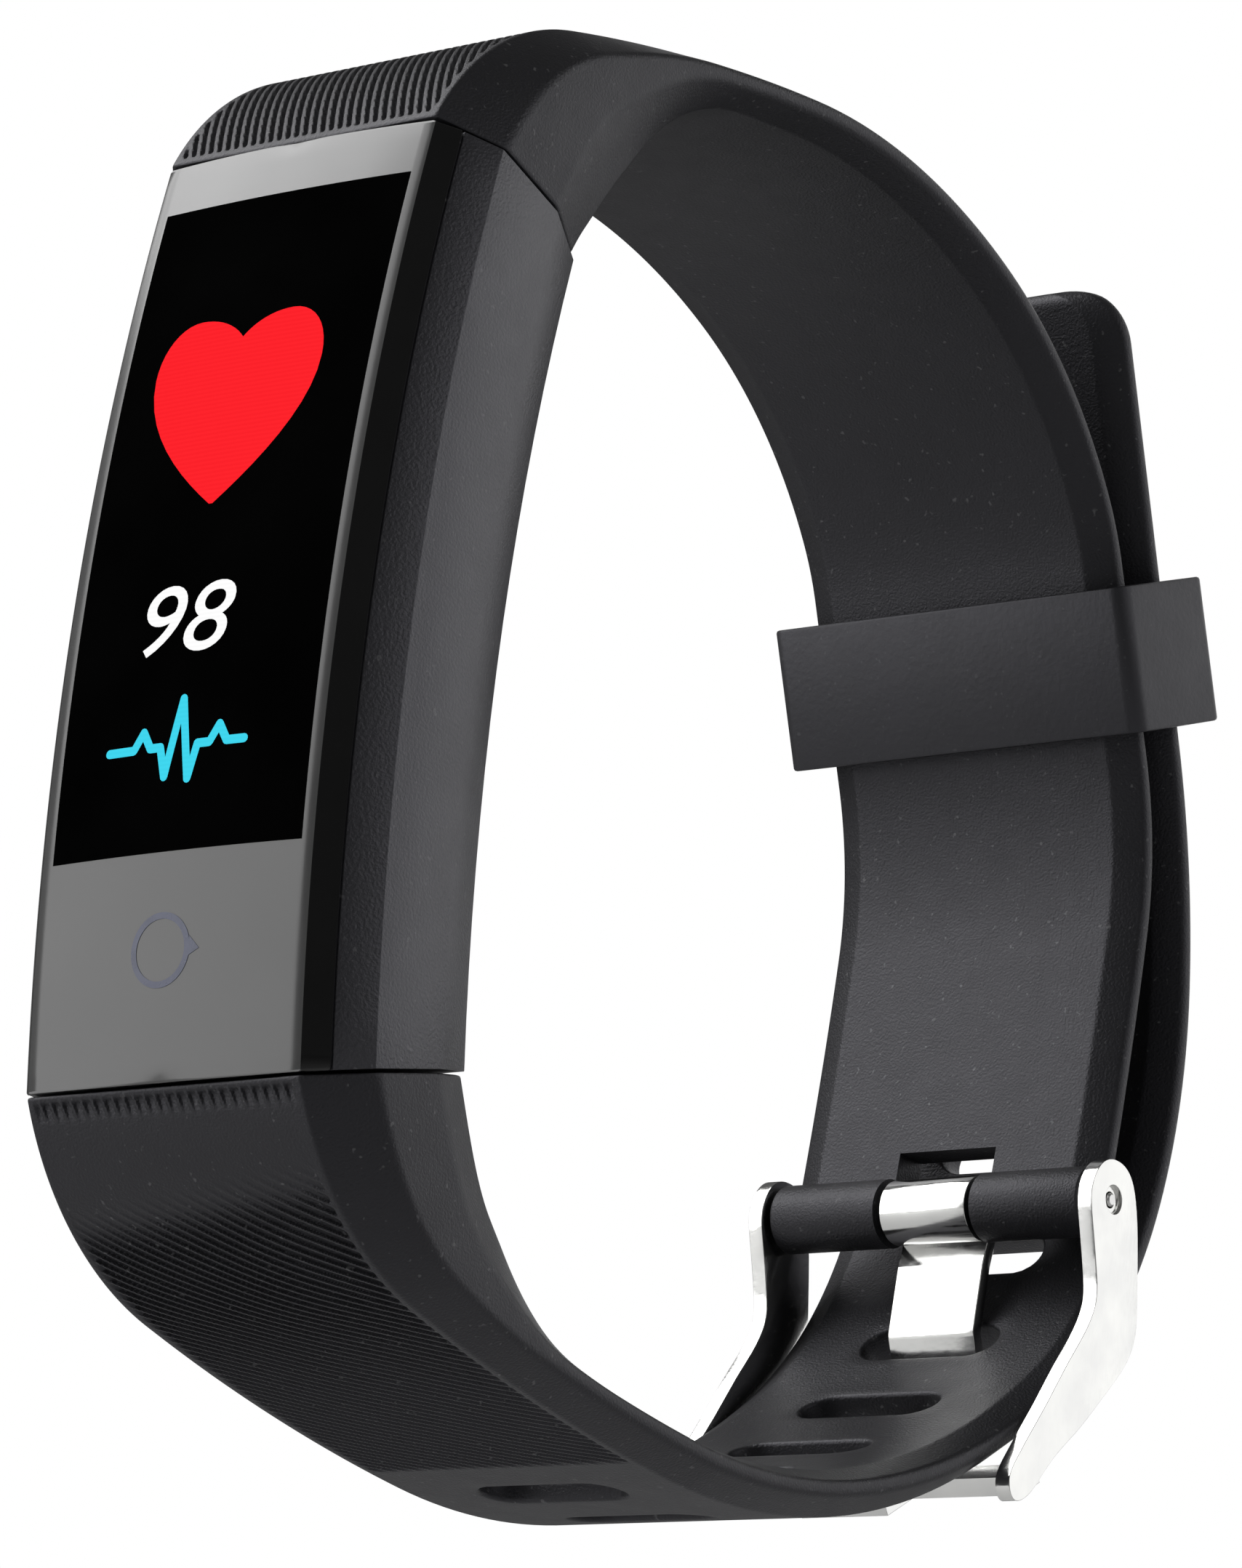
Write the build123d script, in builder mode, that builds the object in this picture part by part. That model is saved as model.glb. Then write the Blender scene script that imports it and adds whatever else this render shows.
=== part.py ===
from build123d import *
import math
import os

# Fitness tracker band, buckled into its loop, as worn.
# Millimetres.  +X runs across the strap, -Y is the way the display faces,
# +Y goes through the wrist and +Z runs along the display, towards its top.
# The origin is the middle of the sensor window's outer face, which rests on the wrist.
# Outlines in the YZ plane are given as (y, z).

# ---- driving dimensions ---------------------------------------------------------------

FRONT = -9.6                 # y of the line where the glass ends at the strap seams
HALF_HEIGHT = 22.8           # half the glass's height at that line
SEAM_SLOPE = 16.2            # degrees that the seams between module and strap lean
CURVE_RADIUS = 140.0         # radius that the whole module is curved to, along its length
CURVE_CENTRE = FRONT + CURVE_RADIUS - 1.8
SEAM_GAP = 0.15              # clear gap between the module and each strap

GLASS_HALF = 8.0             # half-width of the glass's front face
GLASS_EDGE = 8.94            # half-width at the back of the glass's bevelled edge
GLASS_CROWN = 0.3            # how far the middle of the glass stands ahead of its edges
BODY_HALF = 10.1             # half-width of the module and of the straps' roots
WRIST_HALF = 8.77            # half-width at the wrist side
WALL = 1.2                   # thickness of the housing's end walls
CAVITY_HALF = 8.1

STRAP_HALF = 9.63            # half-width of the thin straps
STRAP_ROOT = 10.4            # thickness of both straps where they meet the module
SHOULDER_HALF = 8.0          # half-width of the flat outer face, inside its bevels
INNER_HALF = 8.0             # half-width of the flat inner face, inside its bevels

SLOT_LENGTH = 8.2
SLOT_WIDTH = 2.8
SLOT_PITCH = 6.98
FIRST_SLOT = 34.9            # distance along the lower strap to its first slot
SLOT_COUNT = 11

HUB_RADIUS = 1.8             # rolled end of the upper strap, round the spring bar
HUB_BORE = 0.8
BARREL_RADIUS = 0.75
BARREL_BORE = 0.5
BARREL_HALF = 8.9
TIP_RADIUS = 0.36
STEM_RADIUS = 0.45
STEM_END = 5.5               # how near to the middle each tip's stem reaches
PRONG_HALF = 2.65
PRONG_THICK = 0.7

ARM_INNER = 9.85             # inner and outer faces of the buckle's two side arms
ARM_OUTER = 10.7
ARM_HOLE = 0.42
DISH_RADIUS = 0.75           # shallow dish round each pin on the arms' outer faces
DISH_DEPTH = 0.25
BAR_THICK = 1.0

KEEPER_HALF = 11.2
KEEPER_HEIGHT = 7.6
KEEPER_WALL = 1.0

# ---- the straps' outlines, as chains of arcs ------------------------------------------

# Each strap's outer face is a chain of (length, turn in degrees) from its seam.
UPPER_START = (FRONT, HALF_HEIGHT)
UPPER_HEADING = 68.3
UPPER_CHAIN = [(12.5, -50), (18, -9.5), (18, -30), (14.5, -32), (3.5, -13), (10, 0),
               (10, -26), (15, -4)]
LOWER_START = (FRONT, -HALF_HEIGHT)
LOWER_HEADING = -64
LOWER_CHAIN = [(13.5, 51), (19.5, 9), (11, 16), (21.5, 31), (15, 33), (12, 21), (13.5, 16),
               (24, 0)]
UPPER_LENGTH = sum(length for length, turn in UPPER_CHAIN)
LOWER_LENGTH = sum(length for length, turn in LOWER_CHAIN)
KEEPER_AT = sum(length for length, turn in UPPER_CHAIN[:5]) + 5


def along(start, heading, chain, distance):
    """Point (y, z) and heading in degrees at a distance along a chain of arcs."""
    y, z = start
    angle = math.radians(heading)
    for length, turn in chain:
        step = min(length, distance)
        bend = math.radians(turn) * step / length
        chord = step if bend == 0 else 2 * step / bend * math.sin(bend / 2)
        y += chord * math.cos(angle + bend / 2)
        z += chord * math.sin(angle + bend / 2)
        angle += bend
        distance -= step
        if distance <= 0:
            break
    return y, z, math.degrees(angle)


def smooth(value):
    """Smooth step from 0 to 1."""
    value = min(max(value, 0.0), 1.0)
    return value * value * (3 - 2 * value)


# The upper strap's outer face runs out tangent to its rolled end.
hub_end = along(UPPER_START, UPPER_HEADING, UPPER_CHAIN, UPPER_LENGTH)
HUB_Y = hub_end[0] + HUB_RADIUS * math.sin(math.radians(hub_end[2]))
HUB_Z = hub_end[1] - HUB_RADIUS * math.cos(math.radians(hub_end[2]))
ROOT_LENGTH = 26.0           # along this stretch the sections turn from the seam's slope


def section_plane(start, heading, chain, distance, side):
    """Plane across a strap.  Local y runs inwards from the outer face."""
    y, z, angle = along(start, heading, chain, distance)
    seam_angle = side * (90 - SEAM_SLOPE)
    angle = seam_angle + (angle - seam_angle) * smooth(distance / ROOT_LENGTH)
    if distance == 0:
        y += SEAM_GAP * math.cos(math.radians(angle))
        z += SEAM_GAP * math.sin(math.radians(angle))
    tangent = (0, math.cos(math.radians(angle)), math.sin(math.radians(angle)))
    return Plane(origin=(0, y, z), x_dir=(side, 0, 0), z_dir=tangent)


def upper_section(distance):
    """Half-width, depths of the two edges of the side face, thickness, inner half-width."""
    half = BODY_HALF - (BODY_HALF - STRAP_HALF) * smooth(distance / 25)
    thick = STRAP_ROOT - 8.4 * smooth((distance - 2) / 24)
    shoulder = 3.0 - 2.4 * smooth(distance / 22)
    side = 7.27 - 5.97 * smooth(distance / 23)
    inner = WRIST_HALF - (WRIST_HALF - INNER_HALF) * smooth(distance / 28)
    return half, shoulder, side, thick, inner


def lower_section(distance):
    """The same measures for the lower strap, which thins again towards its free end."""
    half = BODY_HALF - (BODY_HALF - STRAP_HALF) * smooth(distance / 25)
    late = smooth((distance - 50) / 25)
    thick = STRAP_ROOT - 8.1 * smooth(distance / 27) - 0.3 * late
    shoulder = 3.0 - 2.0 * smooth(distance / 20) - 0.4 * late
    side = 7.27 - 5.57 * smooth(distance / 23) - 0.4 * late
    inner = WRIST_HALF - (WRIST_HALF - INNER_HALF) * smooth(distance / 28)
    return half, shoulder, side, thick, inner


def section_points(measures):
    """Corners of a strap's cross-section, outer face first."""
    half, shoulder, side, thick, inner = measures
    right = [(SHOULDER_HALF, 0), (half, shoulder), (half, side), (inner, thick)]
    return right + [(-x, depth) for x, depth in reversed(right)]


def frame_at(start, heading, chain, distance):
    """Plane lying on a strap's outer face: local x across it, local z out of it or into it."""
    y, z, angle = along(start, heading, chain, distance)
    normal = (0, math.sin(math.radians(angle)), -math.cos(math.radians(angle)))
    return Plane(origin=(0, y, z), x_dir=(1, 0, 0), z_dir=normal)


def curved_block(outline, gap):
    """An XY outline carried round the module's curve, cut off a gap inside both seams."""
    slope = math.tan(math.radians(SEAM_SLOPE))
    inset = gap / math.cos(math.radians(SEAM_SLOPE))
    front = HALF_HEIGHT - inset + 6 * slope
    back = HALF_HEIGHT - inset - 14 * slope
    with BuildPart() as block:
        with BuildSketch(Plane.XY):
            with BuildLine():
                Polyline(*outline, close=True)
            make_face()
        revolve(axis=Axis((0, CURVE_CENTRE, 0), (1, 0, 0)))
        with BuildSketch(Plane.YZ):
            with BuildLine():
                Polyline((FRONT - 6, front), (FRONT + 14, back), (FRONT + 14, -back),
                         (FRONT - 6, -front), close=True)
            make_face()
        extrude(amount=20, both=True, mode=Mode.INTERSECT)
    return block.part


def mirrored(points):
    """A closed outline from its right-hand half."""
    return points + [(-x, y) for x, y in reversed(points)]


def save(piece, name):
    piece.part.label = name
    export_step(piece.part, f"parts/{name}.step")


os.makedirs("parts", exist_ok=True)

# ---- the module's shells --------------------------------------------------------------

GLASS_FRONT = FRONT - 1.8            # depths at the module's middle height
GLASS_BACK = FRONT - 0.8
RIM = GLASS_BACK + 0.15
WIDEST = FRONT + 0.9
WIDEST_END = FRONT + 5.45
BACK = FRONT + 8.75
COVER_THICK = 1.0

glass_block = curved_block(mirrored([(0, GLASS_FRONT - GLASS_CROWN), (4.5, GLASS_FRONT - 0.2),
                                     (GLASS_HALF, GLASS_FRONT), (GLASS_EDGE, GLASS_BACK)])[1:-1]
                           + [(0, GLASS_FRONT - GLASS_CROWN)], 0)
gasket_block = curved_block(mirrored([(GLASS_EDGE - 0.1, GLASS_BACK), (GLASS_EDGE - 0.1, RIM)]), 0.2)
gasket_hole = curved_block(mirrored([(CAVITY_HALF, GLASS_BACK - 1), (CAVITY_HALF, RIM + 1)]), WALL)
housing_block = curved_block(mirrored([(GLASS_EDGE, RIM), (BODY_HALF, WIDEST),
                                       (BODY_HALF, WIDEST_END), (WRIST_HALF, BACK)]), 0)
cavity_block = curved_block(mirrored([(CAVITY_HALF, RIM - 1), (CAVITY_HALF, BACK + 1)]), WALL)
cover_block = curved_block(mirrored([(CAVITY_HALF - 0.05, BACK - COVER_THICK),
                                     (CAVITY_HALF - 0.05, BACK)]), WALL + 0.05)
panel_block = curved_block(mirrored([(7.35, GLASS_BACK + 0.05), (7.35, GLASS_BACK + 1.1)]), 1)

with BuildPart() as front_glass:
    add(glass_block)

with BuildPart() as glass_gasket:
    add(gasket_block)
    add(gasket_hole, mode=Mode.SUBTRACT)

# The plug and the tenon leave the module square to its seams.
TONGUE_Y = FRONT + 7.3
TENON_Y = FRONT + 6.5


def seam_plane(y, side):
    """Plane in a seam at depth y, looking out of the module."""
    z = HALF_HEIGHT - math.tan(math.radians(SEAM_SLOPE)) * (y - FRONT)
    out = (0, math.sin(math.radians(SEAM_SLOPE)), side * math.cos(math.radians(SEAM_SLOPE)))
    return Plane(origin=(0, y, side * z), x_dir=(1, 0, 0), z_dir=out)


TONGUE = (12.0, 2.0, 7.5)
TENON = (9.0, 2.4, 4.5)
BOARD_Y = FRONT + 2.0
BOARD_THICK = 0.8
BOSS_PLACES = [(-6.2, -16.4), (6.2, 16.4)]

with BuildPart() as housing:
    add(housing_block)
    add(cavity_block, mode=Mode.SUBTRACT)
    with BuildSketch(seam_plane(TENON_Y, 1)):
        Rectangle(TENON[0], TENON[1])
    extrude(amount=TENON[2])
    with BuildSketch(seam_plane(TONGUE_Y, -1)):
        Rectangle(TONGUE[0] + 0.1, TONGUE[1] + 0.1)
    extrude(amount=3, both=True, mode=Mode.SUBTRACT)
    # Two bosses reach in from the side walls and carry the main board.
    for x, z in BOSS_PLACES:
        with BuildSketch(Plane.XZ.offset(-(BOARD_Y + BOARD_THICK + 2.5))):
            with Locations((math.copysign(6.9, x), z)):
                Rectangle(3.4, 3.0)
        extrude(amount=2.5)
        with BuildSketch(Plane.XZ.offset(-(BOARD_Y + BOARD_THICK + 2.5))):
            with Locations((x, z)):
                Circle(0.5)
        extrude(amount=2.5, mode=Mode.SUBTRACT)

WINDOW_RADIUS = 4.5
with BuildPart() as rear_cover:
    add(cover_block)
    # A raised island holds the sensor window against the wrist.
    with BuildSketch(Plane.XZ.offset(0.05)):
        SlotOverall(16, 11.5, rotation=90)
    extrude(amount=-BACK + 0.4)
    with BuildSketch(Plane.XZ):
        Circle(WINDOW_RADIUS + 0.05)
    extrude(amount=1.05, mode=Mode.SUBTRACT)
    with BuildSketch(Plane.XZ):
        Circle(WINDOW_RADIUS - 0.7)
    extrude(amount=3, mode=Mode.SUBTRACT)

with BuildPart() as sensor_window:
    with BuildSketch(Plane.XZ):
        Circle(WINDOW_RADIUS)
    extrude(amount=1.0)
    fillet(sensor_window.faces().sort_by(Axis.Y)[-1].edges(), 0.2)

# ---- what the module holds ------------------------------------------------------------

with BuildPart() as display_panel:
    add(panel_block)
    with BuildSketch(Plane.XY.offset(-12.6)):
        Rectangle(40, 60)
    extrude(amount=32.7, mode=Mode.INTERSECT)

# The touch key's pad is bonded to the back of the glass, below the display.
KEY_Z = -16.9
KEY_TILT = math.asin(-KEY_Z / CURVE_RADIUS)
with BuildPart() as touch_key_pad:
    key_radius = CURVE_CENTRE - GLASS_BACK - 0.05
    key_place = (0, CURVE_CENTRE - key_radius * math.cos(KEY_TILT), KEY_Z)
    with BuildSketch(Plane(origin=key_place, x_dir=(1, 0, 0),
                           z_dir=(0, math.cos(KEY_TILT), math.sin(KEY_TILT)))):
        Circle(2.2)
    extrude(amount=0.4)

# The display's flexible tail runs down its back and folds over onto the main board.
with BuildPart() as display_flex:
    with BuildSketch(Plane.YZ):
        with BuildLine():
            FilletPolyline((FRONT + 1.1, -9.0), (FRONT + 1.1, -13.6), (BOARD_Y - 0.1, -13.6),
                           (BOARD_Y - 0.1, -10.0), radius=0.3)
        trace(line_width=0.15)
    extrude(amount=3, both=True)

with BuildPart() as main_board:
    with BuildSketch(Plane.XZ.offset(-BOARD_Y)):
        RectangleRounded(15.2, 36, 1)
    extrude(amount=-BOARD_THICK)
    with BuildSketch(Plane.XZ.offset(-BOARD_Y)):
        with Locations(*BOSS_PLACES):
            Circle(0.7)
    extrude(amount=-BOARD_THICK, mode=Mode.SUBTRACT)

CHIPS = [(-3.2, 8.0, 5.0, 5.0), (3.4, 9.0, 4.0, 3.0), (3.2, 3.5, 2.5, 2.5),
         (-2.5, 1.5, 3.0, 2.0), (0.0, 15.6, 7.0, 1.6), (1.5, -2.5, 4.0, 4.0)]
with BuildPart() as board_chips:
    for x, z, width, height in CHIPS:
        with BuildSketch(Plane.XZ.offset(-(BOARD_Y + BOARD_THICK))):
            with Locations((x, z)):
                Rectangle(width, height)
        extrude(amount=-0.8)

with BuildPart() as board_screws:
    with BuildSketch(Plane.XZ.offset(-(BOARD_Y - 0.5))):
        with Locations(*BOSS_PLACES):
            Circle(1.0)
    extrude(amount=-0.5)
    with BuildSketch(Plane.XZ.offset(-BOARD_Y)):
        with Locations(*BOSS_PLACES):
            Circle(0.48)
    extrude(amount=-3.0)

with BuildPart() as battery:
    with BuildSketch(Plane.XZ.offset(-(FRONT + 3.8))):
        with Locations((0, 4.0)):
            RectangleRounded(12.6, 21, 1.2)
    extrude(amount=-3.0)
    fillet(battery.edges().filter_by(Axis.Z), 0.6)

with BuildPart() as sensor_board:
    with BuildSketch(Plane.XZ.offset(-(FRONT + 6.95))):
        RectangleRounded(11, 12, 1)
    extrude(amount=-0.5)

with BuildPart() as sensor_leds:
    with BuildSketch(Plane.XZ.offset(-(FRONT + 7.45))):
        with Locations((0, 2.3), (0, -2.3)):
            Rectangle(1.6, 1.2)
    extrude(amount=-0.5)

with BuildPart() as photodiode:
    with BuildSketch(Plane.XZ.offset(-(FRONT + 7.45))):
        Rectangle(2.6, 2.2)
    extrude(amount=-0.5)

MOTOR_Y = FRONT + 5.7
MOTOR_Z = -13.0
MOTOR_RADIUS = 2.0
motor_plane = Plane(origin=(-3.0, MOTOR_Y, MOTOR_Z), x_dir=(0, 1, 0), z_dir=(1, 0, 0))
with BuildPart() as motor_can:
    with BuildSketch(motor_plane.offset(-2.8)):
        Circle(MOTOR_RADIUS)
    extrude(amount=5.6)
    with BuildSketch(motor_plane.offset(0.4)):
        Circle(0.4)
    extrude(amount=2.4, mode=Mode.SUBTRACT)

with BuildPart() as motor_shaft:
    with BuildSketch(motor_plane.offset(0.5)):
        Circle(0.35)
    extrude(amount=6.2)

with BuildPart() as motor_weight:
    with BuildSketch(motor_plane.offset(3.3)):
        Circle(1.9)
        with Locations((0, 1.9)):
            Rectangle(4, 2.6, mode=Mode.SUBTRACT)
        Circle(0.8)
        Circle(0.35, mode=Mode.SUBTRACT)
    extrude(amount=3.0)

# The charging plug: a flat tongue with four contact strips on its wrist side.
with BuildPart() as charging_plug:
    with BuildSketch(seam_plane(TONGUE_Y, -1).offset(-2.0)):
        Rectangle(TONGUE[0], TONGUE[1])
    extrude(amount=TONGUE[2] + 2.0)
    chamfer(charging_plug.faces().sort_by(Axis.Z)[0].edges(), 0.3)

CONTACT_SPACING = 2.4
plug_side = seam_plane(TONGUE_Y, -1)
contact_plane = Plane(origin=plug_side.from_local_coords((0, -TONGUE[1] / 2, 3.6)),
                      x_dir=(1, 0, 0), z_dir=-plug_side.y_dir)
with BuildPart() as charging_contacts:
    with BuildSketch(contact_plane):
        with GridLocations(CONTACT_SPACING, 1, 4, 1):
            Rectangle(1.1, 5.2)
    extrude(amount=0.08)

# ---- straps ---------------------------------------------------------------------------

UPPER_STATIONS = [0, 3, 6, 9, 12.5, 16, 20, 24, 28, 34, 41, 48, 54, 59, 62.5, 66, 71, 76,
                  81, 86, 91, 96, UPPER_LENGTH]
LOWER_STATIONS = [0, 3, 6, 9, 13, 17, 21, 25, 29, 36, 44, 52, 59, 65, 71, 77, 84, 92, 99,
                  106, 114, LOWER_LENGTH - 7, LOWER_LENGTH]
END_POCKET = 0.3             # clearance all round a pocket

with BuildPart() as upper_strap:
    for distance in UPPER_STATIONS:
        with BuildSketch(section_plane(UPPER_START, UPPER_HEADING, UPPER_CHAIN, distance, 1)):
            Polygon(*section_points(upper_section(distance)), align=None)
    loft()
    with BuildSketch(Plane.YZ):
        with Locations((HUB_Y, HUB_Z)):
            Circle(HUB_RADIUS)
    extrude(amount=STRAP_HALF, both=True)
    with BuildSketch(Plane.YZ):
        with Locations((HUB_Y, HUB_Z)):
            Circle(HUB_BORE)
    extrude(amount=STRAP_HALF + 1, both=True, mode=Mode.SUBTRACT)
    # The window that the prong swings in.
    with BuildSketch(Plane.YZ):
        with Locations((HUB_Y, HUB_Z + 0.55)):
            Rectangle(6, 5.5)
    extrude(amount=PRONG_HALF + 0.35, both=True, mode=Mode.SUBTRACT)
    with BuildSketch(seam_plane(TENON_Y, 1)):
        Rectangle(TENON[0] + END_POCKET, TENON[1] + END_POCKET)
    extrude(amount=TENON[2] + END_POCKET, mode=Mode.SUBTRACT)

with BuildPart() as lower_strap:
    for distance in LOWER_STATIONS:
        with BuildSketch(section_plane(LOWER_START, LOWER_HEADING, LOWER_CHAIN, distance, -1)):
            Polygon(*section_points(lower_section(distance)), align=None)
    loft()
    for index in range(SLOT_COUNT):
        place = frame_at(LOWER_START, LOWER_HEADING, LOWER_CHAIN, FIRST_SLOT + index * SLOT_PITCH)
        with BuildSketch(place):
            SlotOverall(SLOT_LENGTH, SLOT_WIDTH)
        extrude(amount=4, both=True, mode=Mode.SUBTRACT)
    # The free end is square, with rounded corners.
    with BuildSketch(frame_at(LOWER_START, LOWER_HEADING, LOWER_CHAIN, LOWER_LENGTH)):
        Rectangle(30, 10)
        with Locations((0, 15)):
            RectangleRounded(2 * STRAP_HALF, 30, 3.2, mode=Mode.SUBTRACT)
    extrude(amount=4, both=True, mode=Mode.SUBTRACT)
    with BuildSketch(seam_plane(TONGUE_Y, -1)):
        Rectangle(TONGUE[0] + 2 * END_POCKET, TONGUE[1] + 2 * END_POCKET)
    extrude(amount=TONGUE[2] + 2 * END_POCKET, mode=Mode.SUBTRACT)

# The keeper is a plain loop round both straps, where both of them run straight.
KEEPER_INSIDE = 3.5          # from the upper strap's outer face to the keeper's two faces
KEEPER_OUTSIDE = 4.75
keeper_plane = section_plane(UPPER_START, UPPER_HEADING, UPPER_CHAIN, KEEPER_AT, 1)
keeper_middle = (KEEPER_INSIDE - KEEPER_OUTSIDE) / 2
keeper_depth = KEEPER_INSIDE + KEEPER_OUTSIDE
with BuildPart() as keeper_loop:
    with BuildSketch(keeper_plane):
        with Locations((0, keeper_middle)):
            RectangleRounded(2 * KEEPER_HALF, keeper_depth, 0.9)
            RectangleRounded(2 * (KEEPER_HALF - KEEPER_WALL), keeper_depth - 2 * KEEPER_WALL,
                             0.4, mode=Mode.SUBTRACT)
    extrude(amount=KEEPER_HEIGHT / 2, both=True)

# ---- buckle ---------------------------------------------------------------------------

BAR_AT = 59.6                # distance along the lower strap to the buckle's crossbar
BAR_WIDTH = 1.8
BAR_GAP = 0.4                # from the strap's outer face to the crossbar
bar_plane = frame_at(LOWER_START, LOWER_HEADING, LOWER_CHAIN, BAR_AT)
bar_centre = bar_plane.from_local_coords((0, 0, BAR_GAP + BAR_THICK / 2))
bar_angle = along(LOWER_START, LOWER_HEADING, LOWER_CHAIN, BAR_AT)[2]
# The arm's outline runs smoothly through these points, measured from the spring bar's axis.
ARM_OUTLINE = [(0, 2.05), (1.45, 1.45), (2.1, 0.2), (2.7, -2.4), (3.1, -4.8), (3.2, -6.3),
               (2.85, -7.5), (2.2, -8.5), (0.6, -10.4), (-1.2, -12.4), (-2.9, -14.1),
               (-4.0, -15.5), (-5.1, -16.7), (-6.1, -17.0), (-6.6, -16.3), (-6.2, -15.0),
               (-5.2, -13.4),
               (-4.1, -11.7), (-2.4, -8.9), (-1.0, -6.6), (-0.65, -5.3), (-0.9, -4.0),
               (-1.7, -1.6), (-2.05, 0), (-1.45, 1.45)]

with BuildPart() as buckle_frame:
    with BuildSketch(Plane.YZ):
        with BuildLine():
            Spline(*[(HUB_Y + y, HUB_Z + z) for y, z in ARM_OUTLINE], periodic=True)
        make_face()
    extrude(amount=ARM_OUTER, both=True)
    with BuildSketch(Plane.YZ):
        with Locations((HUB_Y - 3, HUB_Z - 6)):
            Rectangle(24, 34)
    extrude(amount=ARM_INNER, both=True, mode=Mode.SUBTRACT)
    with BuildSketch(Plane.YZ):
        with Locations((bar_centre.Y, bar_centre.Z)):
            Rectangle(BAR_WIDTH, BAR_THICK, rotation=bar_angle)
    extrude(amount=ARM_OUTER, both=True)
    with BuildSketch(Plane.YZ):
        with Locations((HUB_Y, HUB_Z)):
            Circle(ARM_HOLE)
    extrude(amount=ARM_OUTER + 1, both=True, mode=Mode.SUBTRACT)
    for side in (-1, 1):
        with BuildSketch(Plane.YZ.offset(side * (ARM_OUTER - DISH_DEPTH))):
            with Locations((HUB_Y, HUB_Z)):
                Circle(DISH_RADIUS)
        extrude(amount=side, mode=Mode.SUBTRACT)

# The prong: rolled round the barrel, through its slot from inside, tip on the crossbar.
PRONG_PATH = [(1.3, -0.6), (0.9, -2.8), (0.7, -6.4), (1.65, -8.45), (1.6, -9.8)]
prong_lift = BAR_GAP + BAR_THICK + PRONG_THICK / 2 + 0.05
prong_ends = [bar_plane.from_local_coords((0, y, prong_lift)) for y in (-1.8, 1.2)]
prong_points = [(HUB_Y + y, HUB_Z + z) for y, z in PRONG_PATH] + [(end.Y, end.Z) for end in prong_ends]
with BuildPart() as buckle_prong:
    with BuildSketch(Plane.YZ):
        with Locations((HUB_Y, HUB_Z)):
            Circle(1.7)
    extrude(amount=PRONG_HALF, both=True)
    with BuildSketch(Plane.YZ):
        with BuildLine():
            FilletPolyline(*prong_points, radius=0.7)
        trace(line_width=PRONG_THICK)
    extrude(amount=PRONG_HALF, both=True)
    with BuildSketch(Plane.YZ):
        with Locations((HUB_Y, HUB_Z)):
            Circle(HUB_BORE)
    extrude(amount=PRONG_HALF, both=True, mode=Mode.SUBTRACT)

# ---- spring bar -----------------------------------------------------------------------

hub_plane = Plane(origin=(0, HUB_Y, HUB_Z), x_dir=(0, 1, 0), z_dir=(1, 0, 0))
with BuildPart() as spring_bar_barrel:
    with BuildSketch(hub_plane):
        Circle(BARREL_RADIUS)
        Circle(BARREL_BORE, mode=Mode.SUBTRACT)
    extrude(amount=BARREL_HALF, both=True)


def spring_bar_tip(side):
    """A tip: a stem that slides in the barrel and a pin that reaches into the arm."""
    with BuildPart() as tip:
        with BuildSketch(hub_plane.offset(side * STEM_END)):
            Circle(STEM_RADIUS)
        extrude(amount=side * (BARREL_HALF - STEM_END))
        with BuildSketch(hub_plane.offset(side * BARREL_HALF)):
            Circle(TIP_RADIUS)
        extrude(amount=side * (ARM_OUTER - 0.1 - BARREL_HALF))
        chamfer(tip.faces().sort_by(Axis.X)[-1 if side > 0 else 0].edges(), 0.1)
    return tip


spring_bar_tip_left = spring_bar_tip(-1)
spring_bar_tip_right = spring_bar_tip(1)

SPRING_LENGTH = 2 * STEM_END - 0.3
SPRING_TURNS = 14
with BuildPart() as spring_bar_spring:
    with BuildLine() as coil:
        Helix(pitch=SPRING_LENGTH / SPRING_TURNS, height=SPRING_LENGTH, radius=0.36,
              center=(-SPRING_LENGTH / 2, HUB_Y, HUB_Z), direction=(1, 0, 0))
    with BuildSketch(coil.line ^ 0):
        Circle(0.1)
    sweep()

PIECES = {
    "front_glass": front_glass,
    "glass_gasket": glass_gasket,
    "housing": housing,
    "rear_cover": rear_cover,
    "sensor_window": sensor_window,
    "display_panel": display_panel,
    "touch_key_pad": touch_key_pad,
    "display_flex": display_flex,
    "main_board": main_board,
    "board_chips": board_chips,
    "board_screws": board_screws,
    "battery": battery,
    "sensor_board": sensor_board,
    "sensor_leds": sensor_leds,
    "photodiode": photodiode,
    "motor_can": motor_can,
    "motor_shaft": motor_shaft,
    "motor_weight": motor_weight,
    "charging_plug": charging_plug,
    "charging_contacts": charging_contacts,
    "upper_strap": upper_strap,
    "lower_strap": lower_strap,
    "keeper_loop": keeper_loop,
    "buckle_frame": buckle_frame,
    "buckle_prong": buckle_prong,
    "spring_bar_barrel": spring_bar_barrel,
    "spring_bar_spring": spring_bar_spring,
    "spring_bar_tip_left": spring_bar_tip_left,
    "spring_bar_tip_right": spring_bar_tip_right,
}

for name, piece in PIECES.items():
    save(piece, name)
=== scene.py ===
import math
from collections import namedtuple

import bmesh
import bpy
from mathutils import Matrix, Quaternion, Vector


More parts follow.
